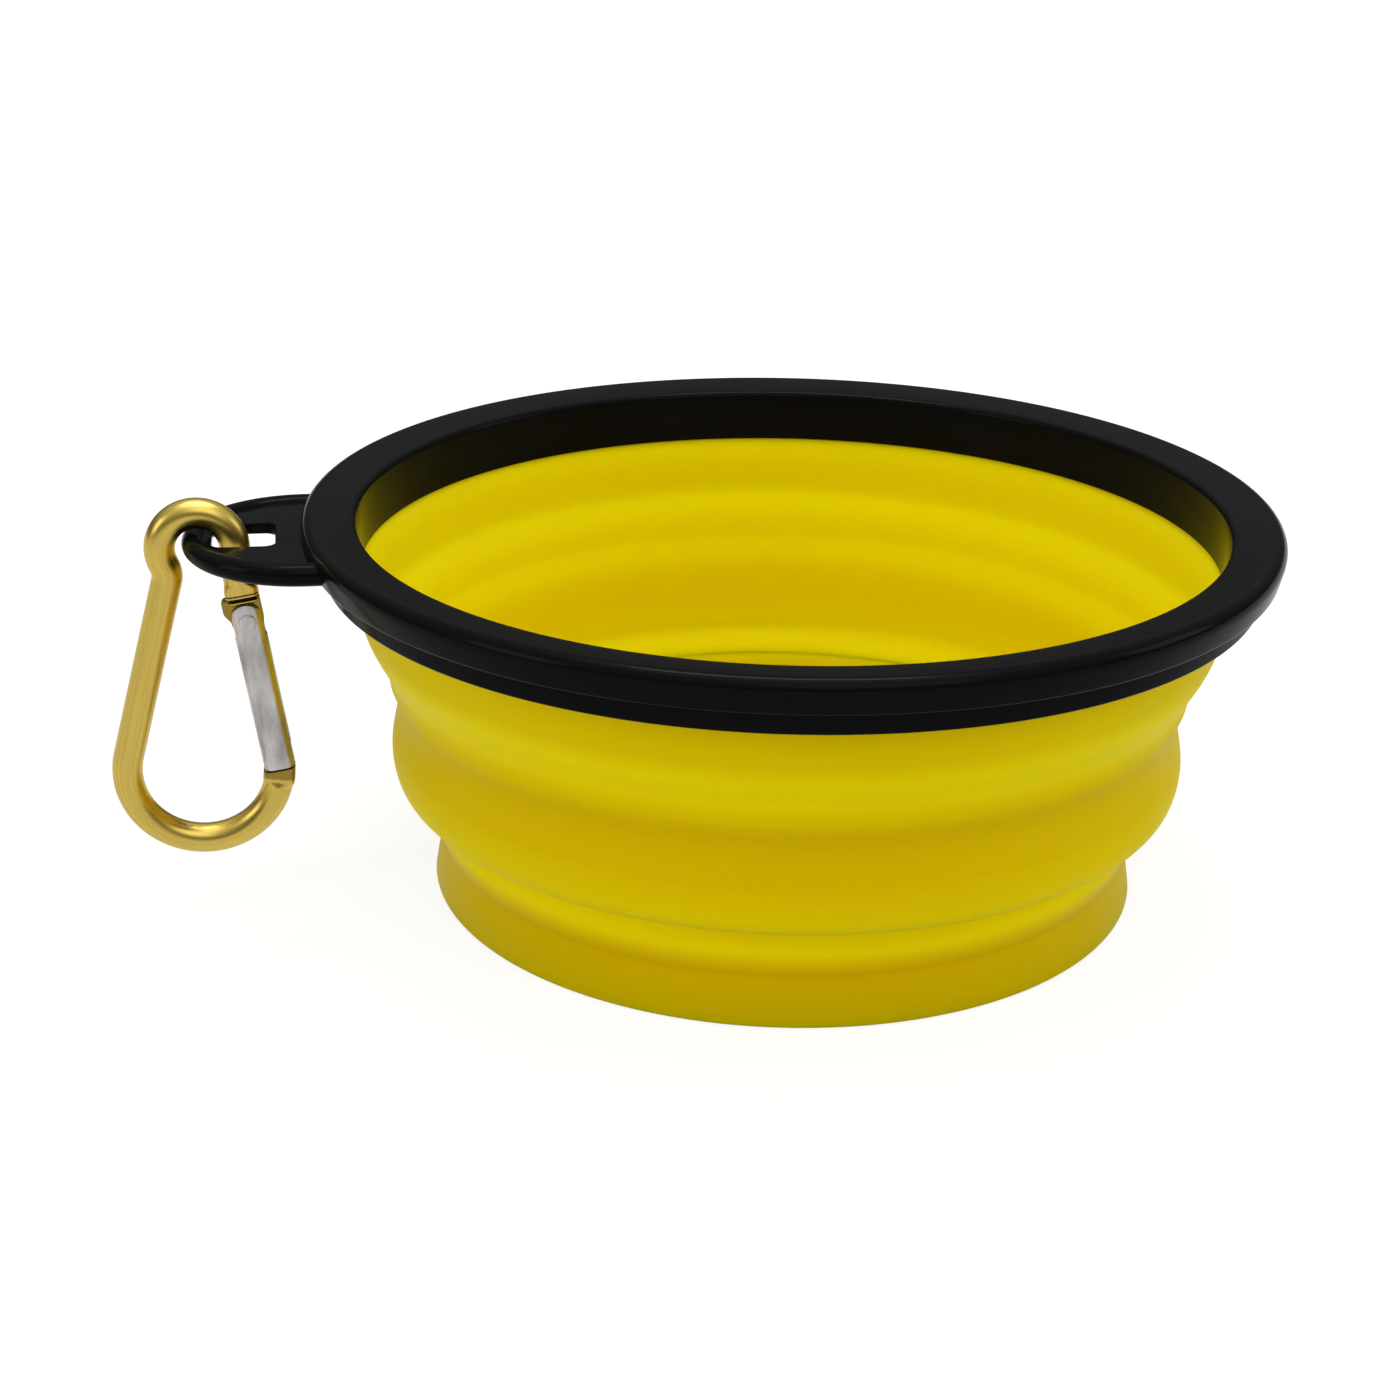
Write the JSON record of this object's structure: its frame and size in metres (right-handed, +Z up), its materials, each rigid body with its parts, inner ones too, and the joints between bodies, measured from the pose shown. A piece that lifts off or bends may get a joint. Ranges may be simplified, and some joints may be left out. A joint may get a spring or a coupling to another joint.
{
  "type": "collapsible pet bowl",
  "caption": "Round travel bowl: a stepped silicone cup that folds flat into a rigid rim with a hanging tab, and a snap hook that hangs from the tab.",
  "frame": {"origin": "centre of the base's underside, on the cup's axis", "axes": "+Z up along the cup's axis, -X towards the hanging tab, +Y across the tab"},
  "size_m": [0.1557, 0.1296, 0.0557],
  "materials": {
    "rim_plastic": "satin black",
    "silicone": "satin yellow silicone",
    "gold_aluminium": "satin gold anodised",
    "plain_aluminium": "plain, lightly scratched",
    "spring_steel": "plain"
  },
  "bodies": {
    "rim": {"rim_ring": "rim_plastic", "rim_clamp_band": "rim_plastic", "silicone_upper_wall": "silicone", "silicone_upper_fold": "silicone"},
    "middle_tier": {"silicone_middle_ring": "silicone", "silicone_lower_fold": "silicone"},
    "base": {"silicone_base_cup": "silicone"},
    "carabiner": {"carabiner_body": "gold_aluminium"},
    "gate": {"carabiner_gate": "plain_aluminium", "gate_rivet": "plain_aluminium", "gate_spring": "spring_steel", "gate_plunger": "spring_steel"}
  },
  "joints": [
    {"name": "upper_fold_slide", "type": "slide", "parent": "rim", "child": "middle_tier", "axis": [0, 0, 1], "range_m": [0, 0.02], "deforming": ["silicone_upper_fold"]},
    {"name": "lower_fold_slide", "type": "slide", "parent": "middle_tier", "child": "base", "axis": [0, 0, 1], "range_m": [0, 0.015], "deforming": ["silicone_lower_fold"]},
    {"name": "carabiner_swing", "type": "hinge", "parent": "rim", "child": "carabiner", "pos_m": [-0.07815, 0, 0.04891], "axis": [0, 1, 0], "range_deg": [-18, 205]},
    {"name": "gate_hinge", "type": "hinge", "parent": "carabiner", "child": "gate", "pos_m": [-0.07219, 0, 0.03907], "axis": [0, 1, 0], "range_deg": [0, 25], "stiffness_Nm_per_rad": 0.005, "springref_deg": -22.92, "deforming": ["gate_spring", "gate_plunger"]}
  ]
}
